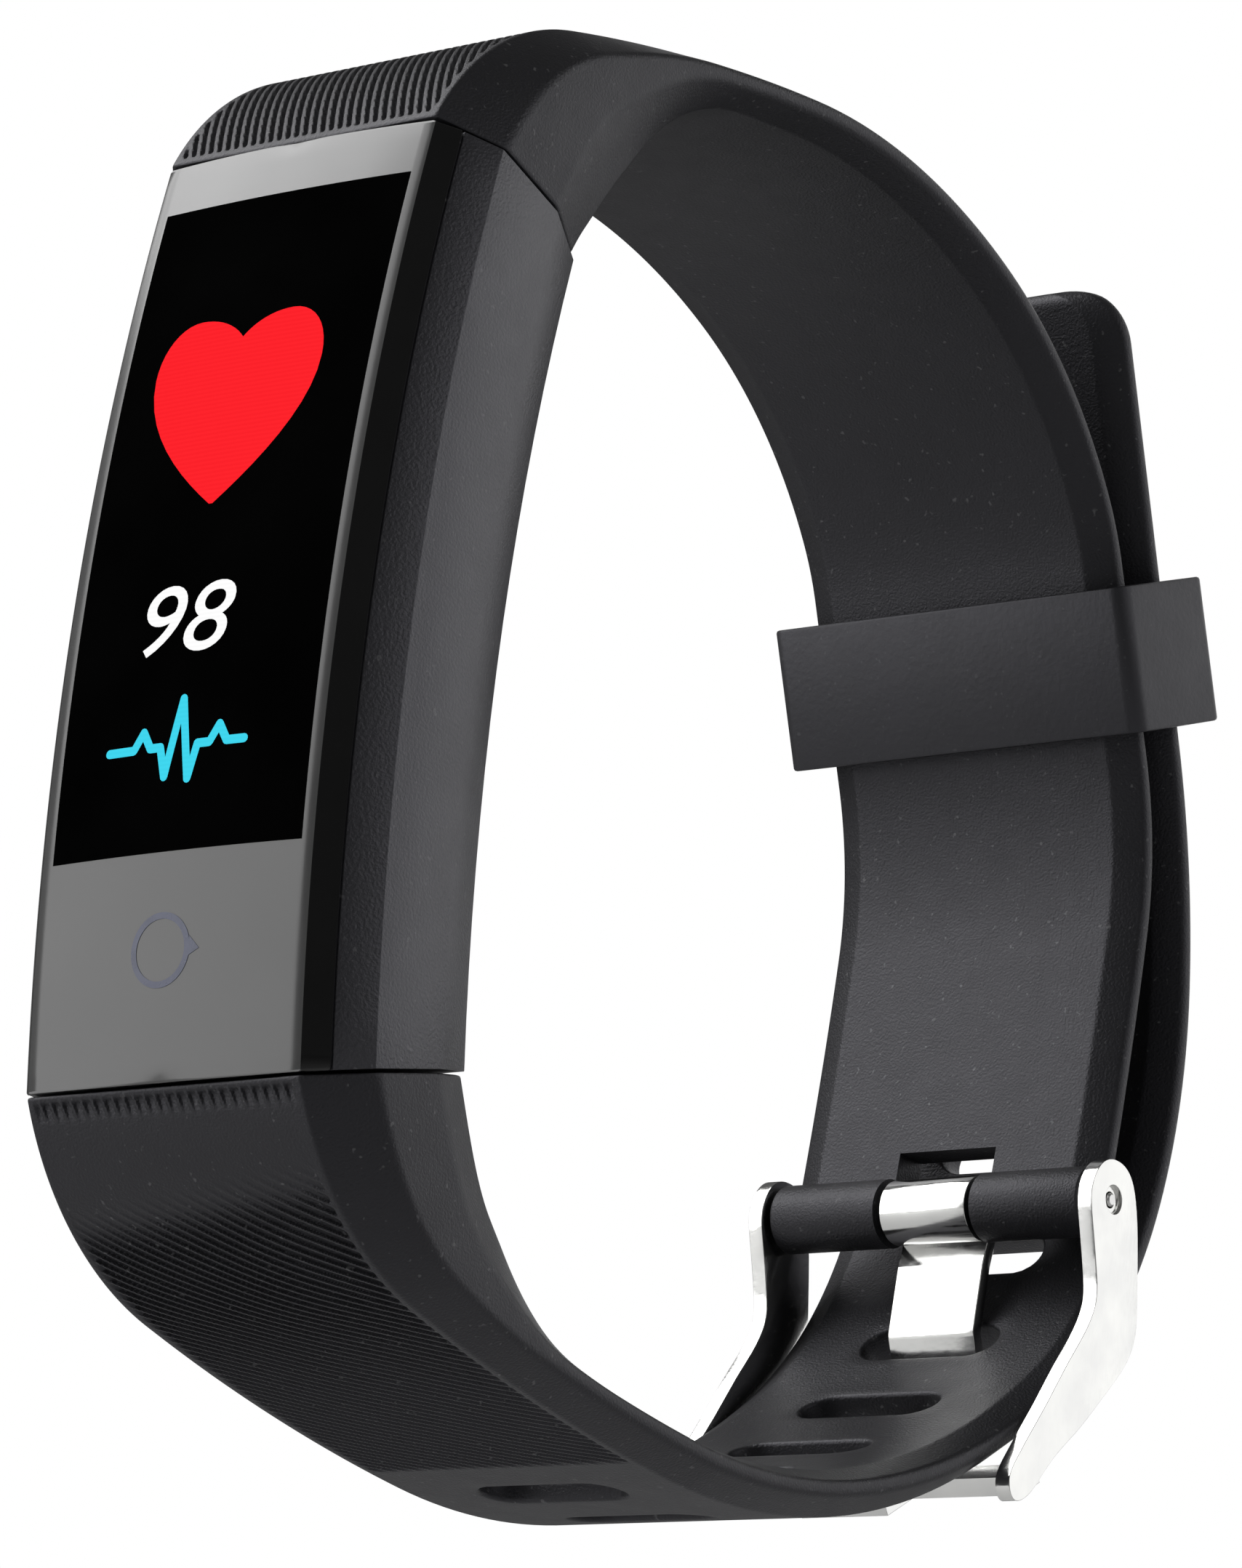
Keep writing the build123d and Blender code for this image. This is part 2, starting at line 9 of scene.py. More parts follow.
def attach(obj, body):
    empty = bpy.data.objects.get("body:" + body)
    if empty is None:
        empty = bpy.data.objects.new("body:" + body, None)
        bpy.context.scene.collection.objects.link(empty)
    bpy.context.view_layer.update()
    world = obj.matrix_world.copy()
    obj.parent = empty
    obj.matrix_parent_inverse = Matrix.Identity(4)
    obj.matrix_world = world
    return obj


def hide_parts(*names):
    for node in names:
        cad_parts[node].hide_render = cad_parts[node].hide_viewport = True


# The looks of a fitness tracker band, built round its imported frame.
# Lengths are in millimetres until a mesh is made, which turns them into metres.
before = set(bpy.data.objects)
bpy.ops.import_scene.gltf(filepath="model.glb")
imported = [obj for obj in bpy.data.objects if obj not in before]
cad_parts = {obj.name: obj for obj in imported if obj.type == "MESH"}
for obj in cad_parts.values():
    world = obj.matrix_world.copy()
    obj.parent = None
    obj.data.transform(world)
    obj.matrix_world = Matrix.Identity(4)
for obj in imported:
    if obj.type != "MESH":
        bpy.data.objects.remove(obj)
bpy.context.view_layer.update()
MM = 0.001

# ---- the frame's own sizes, which the pieces here follow ----------------------------------

FRONT = -9.6                 # y of the line where the glass ends at the strap seams
HALF_HEIGHT = 22.8
SEAM_SLOPE = math.radians(16.2)
CURVE_CENTRE = FRONT + 138.2  # y of the axis that the whole module is curved about
SEAM_GAP = 0.15
GLASS_HALF = 8.0
GLASS_EDGE = 8.94
GLASS_CROWN = 0.3
BODY_HALF = 10.1
WRIST_HALF = 8.77
STRAP_HALF = 9.63
STRAP_ROOT = 10.4
SHOULDER_HALF = 8.0
INNER_HALF = 8.0
ROOT_LENGTH = 26.0
SLOT_LENGTH, SLOT_WIDTH, SLOT_PITCH, FIRST_SLOT, SLOT_COUNT = 8.2, 2.8, 6.98, 34.9, 11
HUB_RADIUS, HUB_BORE = 1.8, 0.8

# Each strap's outer face is a chain of (length, turn in degrees) from its seam. Its ribs run for
# the given length, and its rows of faces are a step apart there.
UPPER = {"start": (FRONT, HALF_HEIGHT), "heading": 68.3, "side": 1, "ribs": 39.0, "step": 0.12,
         "chain": [(12.5, -50), (18, -9.5), (18, -30), (14.5, -32), (3.5, -13), (10, 0),
                   (10, -26), (15, -4)]}
LOWER = {"start": (FRONT, -HALF_HEIGHT), "heading": -64, "side": -1, "ribs": 31.0, "step": 0.08,
         "chain": [(13.5, 51), (19.5, 9), (11, 16), (21.5, 31), (15, 33), (12, 21), (13.5, 16),
                   (24, 0)]}
for strap in (UPPER, LOWER):
    strap["length"] = sum(length for length, turn in strap["chain"])


def smooth(value):
    """Smooth step from 0 to 1."""
    value = min(max(value, 0.0), 1.0)
    return value * value * (3 - 2 * value)


def along(strap, distance):
    """Point (y, z) and heading in radians at a distance along a strap's outer face."""
    y, z = strap["start"]
    angle = math.radians(strap["heading"])
    for length, turn in strap["chain"]:
        step = min(length, distance)
        bend = math.radians(turn) * step / length
        chord = step if bend == 0 else 2 * step / bend * math.sin(bend / 2)
        y += chord * math.cos(angle + bend / 2)
        z += chord * math.sin(angle + bend / 2)
        angle += bend
        distance -= step
        if distance <= 0:
            break
    return y, z, angle


def station(strap, distance):
    """Origin (y, z) and inward direction (y, z) of the section at a distance."""
    y, z, angle = along(strap, distance)
    square = strap["side"] * (math.pi / 2 - SEAM_SLOPE)
    angle = square + (angle - square) * smooth(distance / ROOT_LENGTH)
    return (y, z), (strap["side"] * math.sin(angle), -strap["side"] * math.cos(angle))


# Half-width, depths of the side face's two edges, thickness and inner half-width.
Section = namedtuple("Section", "half shoulder side thick inner")


def section(strap, distance):
    """Sizes of a strap's cross-section at a distance from its seam."""
    half = BODY_HALF - (BODY_HALF - STRAP_HALF) * smooth(distance / 25)
    inner = WRIST_HALF - (WRIST_HALF - INNER_HALF) * smooth(distance / 28)
    if strap is UPPER:
        thick = STRAP_ROOT - 8.4 * smooth((distance - 2) / 24)
        shoulder = 3.0 - 2.4 * smooth(distance / 22)
        side = 7.27 - 5.97 * smooth(distance / 23)
        return Section(half, shoulder, side, thick, inner)
    late = smooth((distance - 50) / 25)
    thick = STRAP_ROOT - 8.1 * smooth(distance / 27) - 0.3 * late
    shoulder = 3.0 - 2.0 * smooth(distance / 20) - 0.4 * late
    side = 7.27 - 5.57 * smooth(distance / 23) - 0.4 * late
    return Section(half, shoulder, side, thick, inner)


# ---- mesh helpers -------------------------------------------------------------------------

SHARP = math.radians(32)     # an edge that turns more than this stays crisp
ROUNDED = math.radians(28)   # an edge of a CAD shape that turns more than this is rounded over


def finished_mesh(name, work):
    """A mesh from a bmesh, closed up, smooth but for its crisp edges."""
    bmesh.ops.recalc_face_normals(work, faces=work.faces)
    for face in work.faces:
        face.smooth = True
    for edge in work.edges:
        edge.smooth = len(edge.link_faces) == 2 and edge.calc_face_angle(0) < SHARP
    mesh = bpy.data.meshes.new(name)
    work.to_mesh(mesh)
    work.free()
    return mesh


def piece(name, mesh, body, materials, replaced=()):
    """An object that rides on a CAD body and stands for the nodes it replaces."""
    obj = bpy.data.objects.new(name, mesh)
    bpy.context.scene.collection.objects.link(obj)
    for material in materials:
        mesh.materials.append(material)
    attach(obj, body)
    if replaced:
        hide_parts(*replaced)
    return obj


def evaluated(obj):
    """The object's mesh with its modifiers applied."""
    bpy.context.view_layer.update()
    graph = bpy.context.evaluated_depsgraph_get()
    return bpy.data.meshes.new_from_object(obj.evaluated_get(graph))


def cut(mesh, cutters):
    """Mesh after each (operation, cutter mesh) is applied to it."""
    base = bpy.data.objects.new("base", mesh)
    bpy.context.scene.collection.objects.link(base)
    tools = []
    for operation, cutter in cutters:
        tool = bpy.data.objects.new("tool", cutter)
        bpy.context.scene.collection.objects.link(tool)
        tools.append(tool)
        modifier = base.modifiers.new("cut", "BOOLEAN")
        modifier.operation = operation
        modifier.solver = "EXACT"
        modifier.object = tool
    result = evaluated(base)
    for obj in [base, *tools]:
        bpy.data.objects.remove(obj)
    work = bmesh.new()
    work.from_mesh(result)
    return finished_mesh(mesh.name, work)


def box_mesh(centre, axes, sizes):
    """A box from its centre, three axes and three sizes, in millimetres."""
    work = bmesh.new()
    corners = {}
    for signs in [(a, b, c) for a in (-1, 1) for b in (-1, 1) for c in (-1, 1)]:
        point = Vector(centre)
        for sign, axis, size in zip(signs, axes, sizes):
            point += Vector(axis) * (sign * size / 2)
        corners[signs] = work.verts.new(point * MM)
    for axis in range(3):
        for sign in (-1, 1):
            ring = []
            for a, b in ((-1, -1), (1, -1), (1, 1), (-1, 1)):
                signs = [a, b]
                signs.insert(axis, sign)
                ring.append(corners[tuple(signs)])
            work.faces.new(ring)
    return finished_mesh("box", work)


def rod_mesh(y, z, radius, half, round_over=0.0, segments=64):
    """A rod along X with rounded rims, in millimetres."""
    work = bmesh.new()
    profile = [(-half + round_over * (1 - math.cos(a)), radius - round_over * (1 - math.sin(a)))
               for a in [math.pi / 2 * k / 4 for k in range(5)]]
    profile += [(-x, r) for x, r in reversed(profile)]
    rings = []
    for x, r in profile:
        rings.append([work.verts.new(Vector((x, y + r * math.cos(a), z + r * math.sin(a))) * MM)
                      for a in [2 * math.pi * k / segments for k in range(segments)]])
    for near, far in zip(rings, rings[1:]):
        for k in range(segments):
            work.faces.new((near[k], near[(k + 1) % segments], far[(k + 1) % segments], far[k]))
    work.faces.new(rings[0])
    work.faces.new(rings[-1])
    bmesh.ops.remove_doubles(work, verts=work.verts, dist=1e-7)
    return finished_mesh("rod", work)


def softened(node, name, body, material, width, segments):
    """A CAD node's shape with its edges rounded over."""
    work = bmesh.new()
    work.from_mesh(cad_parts[node].data)
    bmesh.ops.remove_doubles(work, verts=work.verts, dist=2e-6)
    bmesh.ops.dissolve_limit(work, angle_limit=math.radians(0.5), verts=work.verts,
                             edges=work.edges)
    rough = bpy.data.meshes.new(name)
    work.to_mesh(rough)
    work.free()
    holder = bpy.data.objects.new("holder", rough)
    bpy.context.scene.collection.objects.link(holder)
    bevel = holder.modifiers.new("bevel", "BEVEL")
    bevel.width = width * MM
    bevel.segments = segments
    bevel.limit_method = "ANGLE"
    bevel.angle_limit = ROUNDED
    bevel.use_clamp_overlap = True
    result = evaluated(holder)
    bpy.data.objects.remove(holder)
    work = bmesh.new()
    work.from_mesh(result)
    return piece(name, finished_mesh(name, work), body, [material], [node])


# ---- materials ----------------------------------------------------------------------------


class Nodes:
    """A material under construction."""

    def __init__(self, name, **sockets):
        """Starts from a shader whose named sockets hold the given constants."""
        self.material = bpy.data.materials.new(name)
        self.material.use_nodes = True
        self.tree = self.material.node_tree
        self.shader = self.tree.nodes["Principled BSDF"]
        for socket, value in sockets.items():
            self.shader.inputs[socket.replace("_", " ")].default_value = value
        self.place = self.tree.nodes.new("ShaderNodeTexCoord").outputs["Object"]

    def stretched(self, scale):
        """Object coordinates, scaled by three numbers."""
        mapping = self.tree.nodes.new("ShaderNodeMapping")
        mapping.inputs["Scale"].default_value = scale
        self.tree.links.new(self.place, mapping.inputs["Vector"])
        return mapping.outputs["Vector"]

    def noise(self, size, detail=3.0, place=None):
        """Noise whose features are about size millimetres across."""
        node = self.tree.nodes.new("ShaderNodeTexNoise")
        node.inputs["Scale"].default_value = 1 / (size * MM)
        node.inputs["Detail"].default_value = detail
        self.tree.links.new(place or self.place, node.inputs["Vector"])
        return node.outputs["Fac"]

    def ramp(self, value, stops):
        """A colour ramp over value: stops are (position, colour)."""
        node = self.tree.nodes.new("ShaderNodeValToRGB")
        elements = node.color_ramp.elements
        while len(elements) < len(stops):
            elements.new(0.5)
        for element, (position, colour) in zip(elements, stops):
            element.position = position
            element.color = (*colour, 1)
        self.tree.links.new(value, node.inputs["Fac"])
        return node.outputs["Color"]

    def remap(self, value, low, high, start=0.3, end=0.7):
        """Value's range from start to end, carried over to low to high."""
        node = self.tree.nodes.new("ShaderNodeMapRange")
        for socket, number in zip(("From Min", "From Max", "To Min", "To Max"),
                                  (start, end, low, high)):
            node.inputs[socket].default_value = number
        self.tree.links.new(value, node.inputs["Value"])
        return node.outputs["Result"]

    def mix(self, share, first, second, blend="MIX"):
        """Two colours blended."""
        node = self.tree.nodes.new("ShaderNodeMix")
        node.data_type = "RGBA"
        node.blend_type = blend
        if isinstance(share, float):
            node.inputs["Factor"].default_value = share
        else:
            self.tree.links.new(share, node.inputs["Factor"])
        self.tree.links.new(first, node.inputs["A"])
        self.tree.links.new(second, node.inputs["B"])
        return node.outputs["Result"]

    def link(self, value, socket):
        """Feeds a value to one of the shader's sockets."""
        self.tree.links.new(value, self.shader.inputs[socket])
        return self

    def bump(self, height, depth):
        """Raises the surface by up to depth millimetres."""
        node = self.tree.nodes.new("ShaderNodeBump")
        node.inputs["Distance"].default_value = depth * MM
        self.tree.links.new(height, node.inputs["Height"])
        if self.shader.inputs["Normal"].is_linked:
            first = self.shader.inputs["Normal"].links[0].from_socket
            self.tree.links.new(first, node.inputs["Normal"])
        self.tree.links.new(node.outputs["Normal"], self.shader.inputs["Normal"])
        return self


def grey(value, tint=0.0):
    """A grey that leans to blue by tint."""
    return (value, value, value * (1 + tint))


def rubber(name, shade, roughness, grain=0.13, depth=0.035, specks=0.06, shine=0.5):
    """Moulded rubber: cloudy tone, fine grain, stray pale dust."""
    made = Nodes(name, IOR=1.5, Specular_IOR_Level=shine, Specular_Tint=(0.92, 0.91, 1.0, 1.0))
    cloud = made.ramp(made.noise(5.0), [(0.3, grey(shade * 0.94, 0.08)), (0.7, grey(shade * 1.06, 0.12))])
    dust = made.ramp(made.noise(0.34, 1.0), [(0.7, grey(0.0)), (0.78, grey(specks))])
    made.link(made.mix(1.0, cloud, dust, "ADD"), "Base Color")
    made.link(made.remap(made.noise(1.6), roughness - 0.02, roughness + 0.02), "Roughness")
    made.bump(made.noise(grain, 2.0), depth)
    return made.material


def polished_steel():
    """Bright polished steel with faint rubbing marks and a slight waviness."""
    made = Nodes("polished_steel", Metallic=1.0)
    tone = made.ramp(made.noise(2.5), [(0.35, (0.70, 0.70, 0.69)), (0.7, (0.77, 0.77, 0.75))])
    made.link(tone, "Base Color")
    scratches = made.noise(0.5, 4.0, made.stretched((1.0, 6.0, 1.0)))
    made.link(made.remap(scratches, 0.09, 0.2), "Roughness")
    made.bump(made.noise(2.2, 1.0), 0.012)
    made.bump(scratches, 0.0015)
    return made.material


def turned_steel(name, colour, roughness=0.3):
    """Metal with fine turning marks round X."""
    made = Nodes(name, Metallic=1.0)
    rings = made.noise(0.12, 2.0, made.stretched((1.0, 0.1, 0.1)))
    low = tuple(0.85 * c for c in colour)
    made.link(made.ramp(rings, [(0.3, low), (0.7, colour)]), "Base Color")
    made.link(made.remap(rings, roughness - 0.06, roughness + 0.08), "Roughness")
    made.bump(rings, 0.01)
    return made.material


def moulded(name, colour, roughness, grain=0.3, depth=0.012):
    """Plain moulded plastic or a coated film."""
    made = Nodes(name)
    low = tuple(0.8 * c for c in colour)
    made.link(made.ramp(made.noise(1.5), [(0.3, low), (0.7, colour)]), "Base Color")
    made.link(made.remap(made.noise(0.9), roughness - 0.05, roughness + 0.07), "Roughness")
    made.bump(made.noise(grain), depth)
    return made.material


def glass_face():
    """The glass's printed grey front: an even tone with a faint haze and smears."""
    made = Nodes("glass_face", IOR=1.52)
    made.link(made.ramp(made.noise(14.0, 2.0), [(0.3, grey(0.067)), (0.7, grey(0.075))]), "Base Color")
    made.link(made.remap(made.noise(6.0), 0.16, 0.24), "Roughness")
    made.bump(made.noise(9.0, 1.0), 0.004)
    return made.material


def glass_rim():
    """The bare black edge of the glass."""
    made = Nodes("glass_rim", IOR=1.52)
    made.link(made.ramp(made.noise(4.0), [(0.3, grey(0.002)), (0.7, grey(0.004))]), "Base Color")
    made.link(made.remap(made.noise(3.0), 0.05, 0.09), "Roughness")
    return made.material


def lit(name, colour):
    """A lit part of the display, with its fine pixel rows."""
    made = Nodes(name, Specular_IOR_Level=0.0, Roughness=0.5, Emission_Strength=1.0)
    rows = made.tree.nodes.new("ShaderNodeTexWave")
    rows.wave_type = "BANDS"
    rows.bands_direction = "Z"
    rows.inputs["Scale"].default_value = 1 / (0.7 * MM)
    made.tree.links.new(made.place, rows.inputs["Vector"])
    dim = tuple(0.97 * c for c in colour)
    shown = made.ramp(rows.outputs["Fac"], [(0.2, dim), (0.8, colour)])
    made.link(shown, "Emission Color")
    made.link(made.ramp(rows.outputs["Fac"], [(0.2, grey(0.0)), (0.8, grey(0.002))]), "Base Color")
    return made.material


def display_black():
    """The display behind the glass while it is dark: all but black, with a faint haze."""
    made = Nodes("display_black", Specular_IOR_Level=0.0)
    made.link(made.ramp(made.noise(8.0), [(0.3, grey(0.001)), (0.7, grey(0.002))]), "Base Color")
    made.link(made.remap(made.noise(3.0), 0.1, 0.2), "Roughness")
    return made.material


def window_glass():
    """The sensor window: dark tinted clear plastic."""
    made = Nodes("window_glass", IOR=1.5, Transmission_Weight=0.85)
    tone = made.ramp(made.noise(2.0), [(0.3, (0.18, 0.2, 0.2)), (0.7, (0.24, 0.27, 0.26))])
    made.link(tone, "Base Color")
    made.link(made.remap(made.noise(1.0), 0.03, 0.07), "Roughness")
    return made.material


strap_rubber = rubber("strap_rubber", 0.010, 0.48, shine=0.45)
keeper_rubber = rubber("keeper_rubber", 0.016, 0.5, grain=0.3, depth=0.02, specks=0.02)
housing_plastic = rubber("housing_plastic", 0.016, 0.42, grain=0.16, depth=0.035, specks=0.04, shine=0.75)
cover_plastic = moulded("cover_plastic", (0.012, 0.012, 0.013), 0.45)
steel = polished_steel()
small_steel = turned_steel("small_steel", (0.72, 0.72, 0.71))

# ---- straps -------------------------------------------------------------------------------

FLAT_MARGIN = 0.3            # the outer and inner faces are flat up to this far from their edges
COARSE = 16                  # columns across a face where it is plain
FINE = 240                   # columns across the ribbed face
PLAIN_STEP = 0.7
CORNER_STEPS = 4


def rounded(before, corner, after, radius):
    """Points that round a corner off."""
    start = corner + (before - corner).normalized() * min(radius, (before - corner).length * 0.45)
    end = corner + (after - corner).normalized() * min(radius, (after - corner).length * 0.45)
    points = []
    for step in range(CORNER_STEPS + 1):
        t = step / CORNER_STEPS
        points.append(start * (1 - t) ** 2 + corner * (2 * t * (1 - t)) + end * t ** 2)
    return points


def rim(strap, distance):
    """The section's right side, from its outer face to its inner face, as (x, depth)."""
    half, shoulder, side, thick, inner = section(strap, distance)
    corners = [Vector(p) for p in ((SHOULDER_HALF - FLAT_MARGIN, 0), (SHOULDER_HALF, 0), (half, shoulder),
                                   (half, side), (inner, thick), (inner - FLAT_MARGIN, thick))]
    points = [corners[0]]
    for index in range(1, len(corners) - 1):
        radius = 0.14 if index in (1, 4) else 0.3
        points += rounded(corners[index - 1], corners[index], corners[index + 1], radius)
    return points + [corners[-1]]


def shrink(strap, distance, start_round, end_round):
    """How far the skin draws in at the strap's two ends, to round them over."""
    left, right = distance - SEAM_GAP, strap["length"] - distance
    for gap, radius in ((left, start_round), (right, end_round)):
        if gap < radius:
            return radius - math.sqrt(max(radius ** 2 - (radius - gap) ** 2, 0))
    return 0.0


END_RADIUS = 3.2             # corners of the lower strap's free end, seen flat
# How far each strap's ends are rounded over: at the seams, the free end and the hub.
START_ROUND, NOSE_ROUND, HUB_ROUND = 0.15, 0.7, 0.2


def narrowing(strap, distance):
    """Share of the full width that is left near the free end."""
    if strap is UPPER:
        return 1.0
    into = distance - (strap["length"] - END_RADIUS)
    if into <= 0:
        return 1.0
    return 1 - (END_RADIUS - math.sqrt(max(END_RADIUS ** 2 - into ** 2, 0))) / STRAP_HALF


def place(strap, x, distance, depth):
    """Point in metres at x, a distance along the strap and a depth into it."""
    shape = section(strap, distance)
    draw = shrink(strap, distance, START_ROUND, NOSE_ROUND if strap is LOWER else HUB_ROUND)
    x *= (1 - draw / shape.half) * narrowing(strap, distance)
    depth = draw + depth * max(shape.thick - 2 * draw, 0.1) / shape.thick
    (y, z), inward = station(strap, distance)
    return Vector((x, y + inward[0] * depth, z + inward[1] * depth)) * MM


UPPER_PITCH, UPPER_DEPTH, UPPER_LEAN = 0.48, 0.22, math.radians(24)
LOWER_PITCH, LOWER_DEPTH = 0.64, 0.19
TOOTH_PITCH, TOOTH_DEPTH = 0.62, 0.14


def upper_relief(x, distance):
    """Depth of the moulded ribs on the upper strap: flat-topped, leaning to the left."""
    phase = (x + 0.42 * distance + 0.006 * distance ** 2) * math.cos(UPPER_LEAN) / UPPER_PITCH
    wave = math.cos(2 * math.pi * phase)
    groove = 0.5 - 0.5 * math.tanh(3.0 * (wave + 0.5))
    start = smooth((distance - 0.55) / 0.25)
    fade = 1 - smooth((distance - UPPER["ribs"] + 5) / 4)
    return UPPER_DEPTH * groove * fade * start


def lower_relief(x, distance):
    """Depth between the fine raised lines on the lower strap, with teeth at its seam."""
    across = distance - 0.74 * x + 0.008 * x * x + 0.05 * math.sin(0.7 * x + 0.3 * distance)
    line = math.cos(2 * math.pi * across / LOWER_PITCH)
    ridge = smooth((line - 0.05) / 0.7)
    start = smooth((distance - 3.6 - 0.12 * (8 - x)) / 3.5)
    strength = start * (1 - smooth((distance - LOWER["ribs"] + 0.7) / 0.5))
    lines = LOWER_DEPTH * (1 - ridge) * strength
    tooth = smooth((math.cos(2 * math.pi * (x - 0.25 * distance) / TOOTH_PITCH) - 0.1) / 0.6)
    stretch = smooth((distance - 0.4) / 0.2) * (1 - smooth((distance - 0.6) / 1.0))
    teeth = TOOTH_DEPTH * (1 - tooth) * stretch
    return lines + teeth


def edge_fade(x):
    """Relief stops just short of the face's edges."""
    return smooth((SHOULDER_HALF - FLAT_MARGIN - abs(x)) / 0.25)


def spread(count, half):
    """Even steps from -half to half."""
    return [-half + 2 * half * k / count for k in range(count + 1)]


def ring(strap, distance, columns, relief=None):
    """One closed loop of points round the strap, from the left of its outer face."""
    shape = section(strap, distance)
    outer = []
    for x in spread(columns, SHOULDER_HALF - FLAT_MARGIN):
        depth = relief(x, distance) * edge_fade(x) if relief else 0.0
        outer.append(place(strap, x, distance, depth))
    right = rim(strap, distance)
    across = spread(COARSE, shape.inner - FLAT_MARGIN)
    wrist = [place(strap, x, distance, shape.thick) for x in reversed(across)]
    right_side = [place(strap, x, distance, depth) for x, depth in right[1:-1]]
    left_side = [place(strap, -x, distance, depth) for x, depth in reversed(right[1:-1])]
    return outer + right_side + wrist + left_side


SLOT_ROWS = 8                # rows of faces that each slot's block takes along the strap
LIP = 0.22                   # how far the slots' edges are rounded over


def slot_loops():
    """A slot's loop and its block's border, point for point, as (x, distance from its middle)."""
    radius = SLOT_WIDTH / 2
    straight = SLOT_LENGTH / 2 - radius
    eighth = radius * math.pi / 4
    reach = straight + eighth

    def stadium(walk, offset):
        """Point a walk along the slot's top edge, from its middle, moved out by offset."""
        turn = max(abs(walk) - straight, 0) / radius
        x = min(abs(walk), straight) + (radius + offset) * math.sin(turn)
        return math.copysign(x, walk), (radius + offset) * math.cos(turn)

    border, loops = [], {0.0: [], LIP: []}
    face = SHOULDER_HALF - FLAT_MARGIN
    for k in range(COARSE):
        share = 2 * k / COARSE - 1
        border.append((share * face, SLOT_PITCH / 2))
        for offset in loops:
            loops[offset].append(stadium(share * reach, offset))
    for k in range(SLOT_ROWS):
        share = 1 - 2 * k / SLOT_ROWS
        border.append((face, share * SLOT_PITCH / 2))
        turn = math.pi / 2 - share * math.pi / 4
        for offset in loops:
            loops[offset].append((straight + (radius + offset) * math.sin(turn),
                                  (radius + offset) * math.cos(turn)))
    border += [(-x, -s) for x, s in border]
    for offset in loops:
        loops[offset] += [(-x, -s) for x, s in loops[offset]]
    return border, loops[LIP], loops[0.0]


def slot_block(work, strap, middle):
    """The strap round one slot: both faces, the slot's rounded lips and its wall."""
    border, lip, wall = slot_loops()
    layers = []
    for share in (0.0, 0.4, 0.75, 1.0):
        layers.append(([(bx + (lx - bx) * share, bs + (ls - bs) * share)
                        for (bx, bs), (lx, ls) in zip(border, lip)], 0.0))
    for turn in (math.pi / 6, math.pi / 3, math.pi / 2):
        inwards = math.sin(turn)
        layers.append(([(lx + (wx - lx) * inwards, ls + (ws - ls) * inwards)
                        for (lx, ls), (wx, ws) in zip(lip, wall)], LIP * (1 - math.cos(turn))))
    layers += [(points, -depth if depth else -1e-9) for points, depth in reversed(layers)]
    rings = []
    for points, depth in layers:
        row = []
        for x, s in points:
            distance = middle + s
            below = depth if depth >= 0 else section(strap, distance).thick + depth
            row.append(work.verts.new(place(strap, x, distance, below)))
        rings.append(row)
    count = len(border)
    for near, far in zip(rings, rings[1:]):
        for k in range(count):
            work.faces.new((near[k], near[(k + 1) % count], far[(k + 1) % count], far[k]))


def strap_mesh(name, strap, relief, slots):
    """A strap's whole skin: ribbed stretch, plain stretch, slots and both ends."""
    length = strap["length"]
    rib_end = strap["ribs"]
    ribbed = [SEAM_GAP, SEAM_GAP + 0.04, SEAM_GAP + 0.09]
    while ribbed[-1] + strap["step"] < rib_end:
        ribbed.append(ribbed[-1] + strap["step"])
    plain = [rib_end]
    blocks = [FIRST_SLOT + k * SLOT_PITCH for k in range(slots)]
    goal = blocks[0] - SLOT_PITCH / 2 if blocks else length - 0.3
    step = (goal - rib_end) / math.ceil((goal - rib_end) / PLAIN_STEP)
    while plain[-1] + step < goal + 1e-6:
        plain.append(plain[-1] + step)
    first_row = len(plain) - 1
    for middle in blocks:
        plain += [middle + SLOT_PITCH * ((k + 1) / SLOT_ROWS - 0.5) for k in range(SLOT_ROWS)]
    last_row = len(plain) - 1
    if blocks:
        goal = length - END_RADIUS
        while plain[-1] + PLAIN_STEP < goal:
            plain.append(plain[-1] + PLAIN_STEP)
        plain += [goal + END_RADIUS * math.sin(math.pi / 2 * k / 16) for k in range(16)]
        plain += [length - 0.006]
    else:
        plain += [length - 0.3 * (1 - k / 6) for k in range(1, 7)]

    work = bmesh.new()
    rings = [[work.verts.new(p) for p in ring(strap, s, FINE, relief)] for s in ribbed]
    rows = [[work.verts.new(p) for p in ring(strap, s, COARSE)] for s in plain]

    def skin(near, far, outer, skipped=False):
        """A row of faces, without the outer and inner faces where slots take their place."""
        count = len(near)
        wrist_start = count - (count - outer - 1 - COARSE) // 2 - COARSE
        for k in range(count):
            on_face = k < outer or wrist_start - 1 <= k < wrist_start - 1 + COARSE
            if not (skipped and on_face):
                work.faces.new((near[k], near[(k + 1) % count], far[(k + 1) % count], far[k]))

    for near, far in zip(rings, rings[1:]):
        skin(near, far, FINE)
    # One row of wider faces joins the fine columns to the coarse ones.
    near, far = rings[-1], rows[0]
    ratio = FINE // COARSE
    for k in range(COARSE):
        work.faces.new([far[k + 1], far[k], *near[k * ratio:(k + 1) * ratio + 1]])
    shift = FINE - COARSE
    for k in range(COARSE, len(far)):
        after = (k + 1) % len(far)
        work.faces.new((near[k + shift], near[after + shift if after else 0], far[after], far[k]))
    for index, (near, far) in enumerate(zip(rows, rows[1:])):
        skin(near, far, COARSE, first_row <= index < last_row)
    for middle in blocks:
        slot_block(work, strap, middle)
    work.faces.new(rings[0])
    work.faces.new(rows[-1])
    bmesh.ops.remove_doubles(work, verts=work.verts, dist=4e-7)
    return finished_mesh(name, work)


